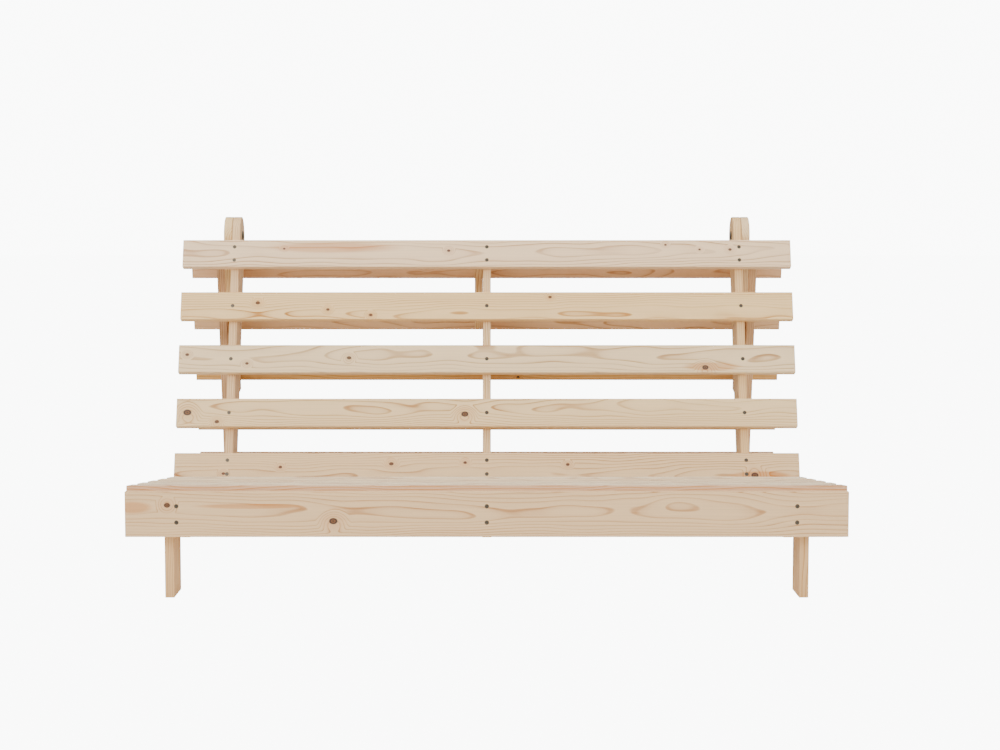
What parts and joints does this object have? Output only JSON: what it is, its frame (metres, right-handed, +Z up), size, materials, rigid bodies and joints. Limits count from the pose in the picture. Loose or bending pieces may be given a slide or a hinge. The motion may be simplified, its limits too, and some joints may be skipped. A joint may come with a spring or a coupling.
{
  "type": "slatted futon sofa bed frame",
  "caption": "Slatted pine sofa-bed frame in three hinged sections: seat, reclined back and rear support, folding flat into a bed on hinged legs.",
  "frame": {"origin": "on the floor, under the middle of the sofa's width and depth", "axes": "+X along the slats, to the right seen from the front; +Y from the front rail to the rear; +Z up"},
  "size_m": [1.5, 1.1448, 0.7903],
  "materials": {
    "pine": "planed and lightly sealed",
    "zinc_plated_steel": "zinc plated"
  },
  "bodies": {
    "seat_section": {"front_rail": "pine", "seat_bearer_left": "pine", "seat_bearer_right": "pine", "seat_bearer_center": "pine", "front_leg_left": "pine", "front_leg_right": "pine", "seat_slat_1": "pine", "seat_slat_2": "pine", "seat_slat_3": "pine", "seat_slat_4": "pine", "seat_slat_5": "pine", "seat_slat_screws": "zinc_plated_steel", "rail_screws": "zinc_plated_steel", "front_leg_screws": "zinc_plated_steel", "lower_pivot_bolts": "zinc_plated_steel", "lower_pivot_nuts": "zinc_plated_steel", "lower_pivot_washers": "zinc_plated_steel", "seat_leg_pivot_bolts": "zinc_plated_steel", "seat_leg_pivot_nuts": "zinc_plated_steel", "seat_leg_pivot_washers": "zinc_plated_steel"},
    "back_section": {"back_bearer_left": "pine", "back_bearer_right": "pine", "back_bearer_center": "pine", "back_slat_1": "pine", "back_slat_2": "pine", "back_slat_3": "pine", "back_slat_4": "pine", "back_slat_5": "pine", "back_slat_screws": "zinc_plated_steel", "upper_pivot_bolts": "zinc_plated_steel", "upper_pivot_nuts": "zinc_plated_steel", "upper_pivot_washers": "zinc_plated_steel"},
    "rear_section": {"center_cleat": "pine", "center_cleat_screws": "zinc_plated_steel", "knuckle_left": "pine", "knuckle_right": "pine", "knuckle_screws": "zinc_plated_steel", "rear_bearer_center": "pine", "rear_bearer_left": "pine", "rear_bearer_right": "pine", "rear_leg_left": "pine", "rear_leg_pivot_bolts": "zinc_plated_steel", "rear_leg_pivot_nuts": "zinc_plated_steel", "rear_leg_pivot_washers": "zinc_plated_steel", "rear_leg_right": "pine", "rear_leg_screws": "zinc_plated_steel", "rear_slat_1": "pine", "rear_slat_2": "pine", "rear_slat_3": "pine", "rear_slat_4": "pine", "rear_slat_5": "pine", "rear_slat_screws": "zinc_plated_steel", "rest_cleat_left": "pine", "rest_cleat_right": "pine", "rest_cleat_screws": "zinc_plated_steel"},
    "seat_swing_leg_left": {"seat_swing_leg_left": "pine"},
    "seat_swing_leg_right": {"seat_swing_leg_right": "pine"},
    "rear_swing_leg_left": {"rear_swing_leg_left": "pine"},
    "rear_swing_leg_right": {"rear_swing_leg_right": "pine"}
  },
  "joints": [
    {"name": "back_hinge", "type": "hinge", "parent": "seat_section", "child": "back_section", "pos_m": [0, 0.13921, 0.10011], "axis": [-1, 0, 0], "range_deg": [0, 75.8]},
    {"name": "rear_hinge", "type": "hinge", "parent": "back_section", "child": "rear_section", "pos_m": [0, 0.37315, 0.74286], "axis": [1, 0, 0], "range_deg": [0, 148.5]},
    {"name": "seat_leg_left_hinge", "type": "hinge", "parent": "seat_section", "child": "seat_swing_leg_left", "pos_m": [0, -0.00007, 0.11425], "axis": [1, 0, 0], "range_deg": [0, 90]},
    {"name": "seat_leg_right_hinge", "type": "hinge", "parent": "seat_section", "child": "seat_swing_leg_right", "pos_m": [0, -0.00007, 0.11425], "axis": [1, 0, 0], "range_deg": [0, 90]},
    {"name": "rear_leg_left_hinge", "type": "hinge", "parent": "rear_section", "child": "rear_swing_leg_left", "pos_m": [0, 0.421, 0.50767], "axis": [-1, 0, 0], "range_deg": [0, 90]},
    {"name": "rear_leg_right_hinge", "type": "hinge", "parent": "rear_section", "child": "rear_swing_leg_right", "pos_m": [0, 0.421, 0.50767], "axis": [-1, 0, 0], "range_deg": [0, 90]}
  ]
}
